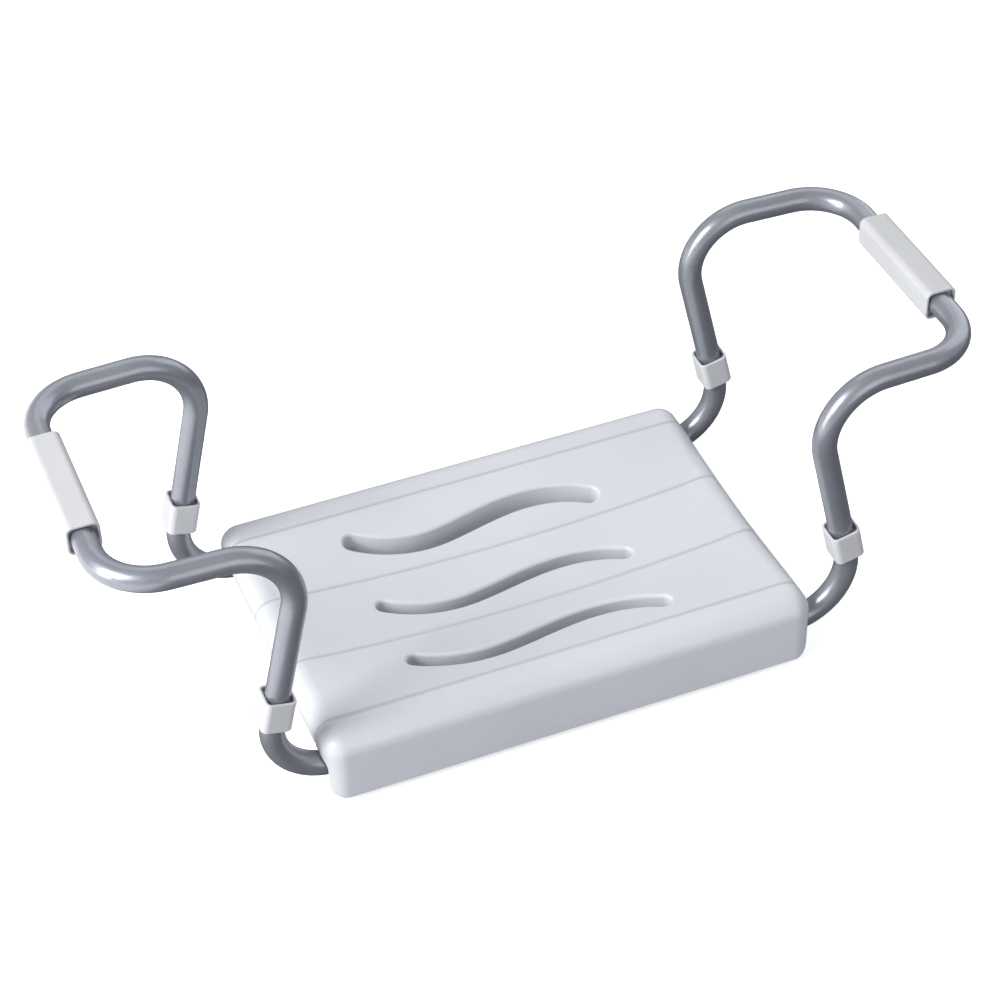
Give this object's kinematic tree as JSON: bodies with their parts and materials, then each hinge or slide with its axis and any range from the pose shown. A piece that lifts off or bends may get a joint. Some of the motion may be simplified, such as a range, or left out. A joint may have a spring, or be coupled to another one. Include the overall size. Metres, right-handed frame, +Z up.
{
  "type": "bath transfer bench",
  "caption": "Dished, slotted plastic seat that hangs inside a bathtub from bent tube arms resting on both rims; the arms telescope to fit the bath and lock with thumb knobs.",
  "frame": {"origin": "below the middle of the seat, level with the undersides of the thumb knobs, the object's lowest point", "axes": "+X across the bath from rim to rim, +Y towards the back of the seat, +Z up"},
  "size_m": [0.695, 0.272, 0.2625],
  "materials": {
    "seat_plastic": "semi-gloss moulded white, faintly cool",
    "fitting_plastic": "satin moulded white",
    "arm_tube": "satin silver-grey coat",
    "guide_steel": "zinc-plated drawn tube",
    "plated_steel": "bright zinc plate",
    "knob_plastic": "fine-grained grey",
    "glide_plastic": "plain natural-grey nylon"
  },
  "bodies": {
    "seat": {"bath_seat": "seat_plastic", "front_guide_tube": "guide_steel", "rear_guide_tube": "guide_steel", "front_left_saddle": "glide_plastic", "front_middle_saddle": "glide_plastic", "front_right_saddle": "glide_plastic", "rear_left_saddle": "glide_plastic", "rear_middle_saddle": "glide_plastic", "rear_right_saddle": "glide_plastic", "saddle_screws": "plated_steel", "weld_nuts": "plated_steel", "front_left_mouth_ring": "glide_plastic", "front_right_mouth_ring": "glide_plastic", "rear_left_mouth_ring": "glide_plastic", "rear_right_mouth_ring": "glide_plastic"},
    "left_arm": {"left_arm_tube": "arm_tube", "left_rim_sleeve": "fitting_plastic", "front_left_bumper": "fitting_plastic", "front_left_leg_plug": "glide_plastic", "rear_left_bumper": "fitting_plastic", "rear_left_leg_plug": "glide_plastic"},
    "right_arm": {"right_arm_tube": "arm_tube", "right_rim_sleeve": "fitting_plastic", "front_right_bumper": "fitting_plastic", "front_right_leg_plug": "glide_plastic", "rear_right_bumper": "fitting_plastic", "rear_right_leg_plug": "glide_plastic"},
    "front_left_stud": {"front_left_lock_stud": "plated_steel"},
    "front_left_knob": {"front_left_lock_knob": "knob_plastic"},
    "front_right_stud": {"front_right_lock_stud": "plated_steel"},
    "front_right_knob": {"front_right_lock_knob": "knob_plastic"},
    "rear_left_stud": {"rear_left_lock_stud": "plated_steel"},
    "rear_left_knob": {"rear_left_lock_knob": "knob_plastic"},
    "rear_right_stud": {"rear_right_lock_stud": "plated_steel"},
    "rear_right_knob": {"rear_right_lock_knob": "knob_plastic"}
  },
  "joints": [
    {"name": "left_arm_slide", "type": "slide", "parent": "seat", "child": "left_arm", "axis": [-1, 0, 0], "range_m": [0, 0.06]},
    {"name": "right_arm_slide", "type": "slide", "parent": "seat", "child": "right_arm", "axis": [1, 0, 0], "range_m": [0, 0.06]},
    {"name": "front_left_stud_travel", "type": "slide", "parent": "seat", "child": "front_left_stud", "axis": [0, 0, -1], "range_m": [0, 0.002]},
    {"name": "front_left_knob_turn", "type": "hinge", "parent": "front_left_stud", "child": "front_left_knob", "pos_m": [-0.145, -0.117, 0.0065], "axis": [0, 0, -1], "range_deg": [0, 720]},
    {"name": "front_right_stud_travel", "type": "slide", "parent": "seat", "child": "front_right_stud", "axis": [0, 0, -1], "range_m": [0, 0.002]},
    {"name": "front_right_knob_turn", "type": "hinge", "parent": "front_right_stud", "child": "front_right_knob", "pos_m": [0.145, -0.117, 0.0065], "axis": [0, 0, -1], "range_deg": [0, 720]},
    {"name": "rear_left_stud_travel", "type": "slide", "parent": "seat", "child": "rear_left_stud", "axis": [0, 0, -1], "range_m": [0, 0.002]},
    {"name": "rear_left_knob_turn", "type": "hinge", "parent": "rear_left_stud", "child": "rear_left_knob", "pos_m": [-0.145, 0.117, 0.0065], "axis": [0, 0, -1], "range_deg": [0, 720]},
    {"name": "rear_right_stud_travel", "type": "slide", "parent": "seat", "child": "rear_right_stud", "axis": [0, 0, -1], "range_m": [0, 0.002]},
    {"name": "rear_right_knob_turn", "type": "hinge", "parent": "rear_right_stud", "child": "rear_right_knob", "pos_m": [0.145, 0.117, 0.0065], "axis": [0, 0, -1], "range_deg": [0, 720]}
  ],
  "couplings": [
    {"joint": "front_left_stud_travel", "follows": "front_left_knob_turn", "m_per_rad": 0.00015915},
    {"joint": "front_right_stud_travel", "follows": "front_right_knob_turn", "m_per_rad": 0.00015915},
    {"joint": "rear_left_stud_travel", "follows": "rear_left_knob_turn", "m_per_rad": 0.00015915},
    {"joint": "rear_right_stud_travel", "follows": "rear_right_knob_turn", "m_per_rad": 0.00015915}
  ]
}
